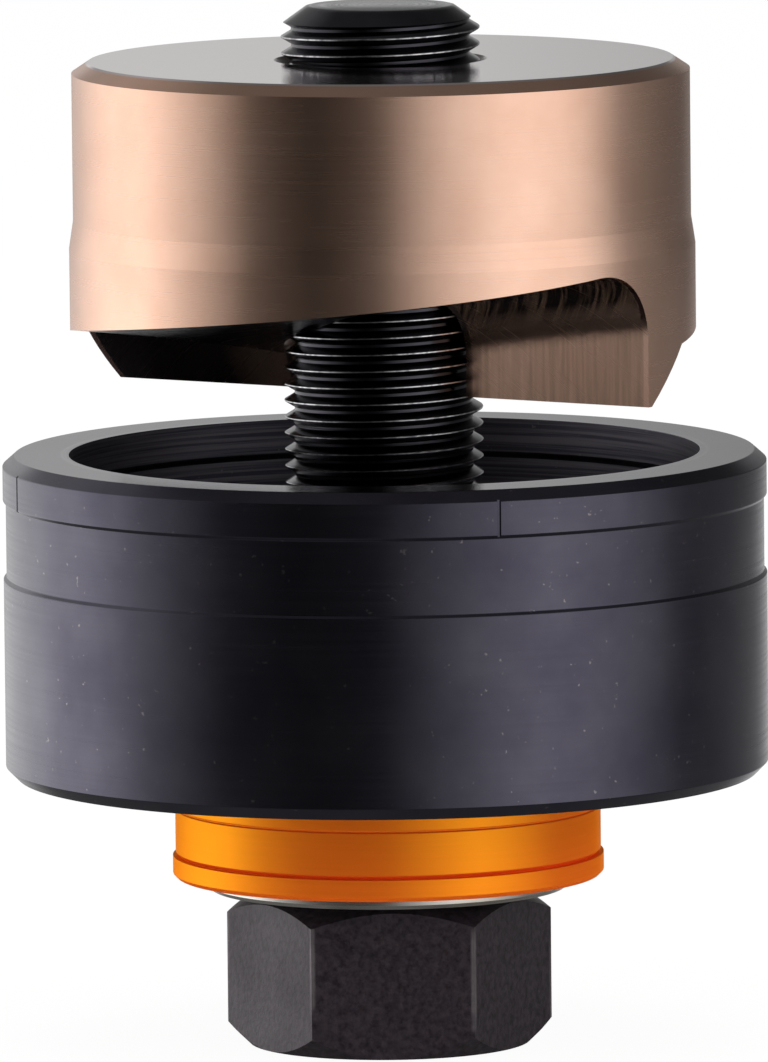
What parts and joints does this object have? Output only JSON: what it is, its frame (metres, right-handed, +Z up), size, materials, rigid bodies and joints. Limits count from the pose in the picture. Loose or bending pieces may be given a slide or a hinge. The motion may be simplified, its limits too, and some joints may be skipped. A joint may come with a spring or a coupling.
{
  "type": "knockout punch",
  "caption": "Screw-driven sheet metal knockout punch: hexagon-head draw screw with ball thrust bearing in an orange housing, cup-shaped die and two-point shear punch.",
  "frame": {"origin": "centre of the hexagon head's underside, on the screw's axis, where the tool stands", "axes": "+Z up along the screw's axis from the head to the punch; -Y faces the viewer and +X is to the right in the picture"},
  "size_m": [0.0734, 0.0732, 0.1],
  "materials": {
    "punch_steel": "turned and ground, bronze-coloured, satin",
    "die_steel": "turned, blue-black oxide, satin",
    "screw_steel": "rolled thread and forged head, black oxide, oiled",
    "housing_alloy": "turned and anodised orange, satin gloss",
    "race_steel": "ground bearing steel",
    "cage_steel": "pressed steel strip",
    "ball_steel": "polished bearing balls"
  },
  "bodies": {
    "die": {"die": "die_steel"},
    "screw": {"drive_screw": "screw_steel", "lower_race": "race_steel"},
    "punch": {"punch": "punch_steel"},
    "ball_cage": {"ball_cage": "cage_steel", "ball_01": "ball_steel", "ball_02": "ball_steel", "ball_03": "ball_steel", "ball_04": "ball_steel", "ball_05": "ball_steel", "ball_06": "ball_steel", "ball_07": "ball_steel", "ball_08": "ball_steel", "ball_09": "ball_steel", "ball_10": "ball_steel", "ball_11": "ball_steel", "ball_12": "ball_steel", "ball_13": "ball_steel", "ball_14": "ball_steel"},
    "bearing_housing": {"bearing_housing": "housing_alloy", "upper_race": "race_steel"}
  },
  "joints": [
    {"name": "screw_spin", "type": "hinge", "parent": "die", "child": "screw", "pos_m": [0, 0, 0], "axis": [0, 0, 1], "range_deg": [-7200.6, 4680.6]},
    {"name": "punch_feed", "type": "slide", "parent": "die", "child": "punch", "axis": [0, 0, 1], "range_m": [-0.02064, 0.03175]},
    {"name": "cage_spin", "type": "hinge", "parent": "die", "child": "ball_cage", "pos_m": [0, 0, 0.02], "axis": [0, 0, 1], "range_deg": [-3600.3, 2340.3]},
    {"name": "housing_spin", "type": "hinge", "parent": "die", "child": "bearing_housing", "pos_m": [0, 0, 0.02], "axis": [0, 0, 1], "continuous": true}
  ],
  "couplings": [
    {"joint": "screw_spin", "follows": "punch_feed", "rad_per_m": -3957.9},
    {"joint": "cage_spin", "follows": "punch_feed", "rad_per_m": -1979}
  ]
}
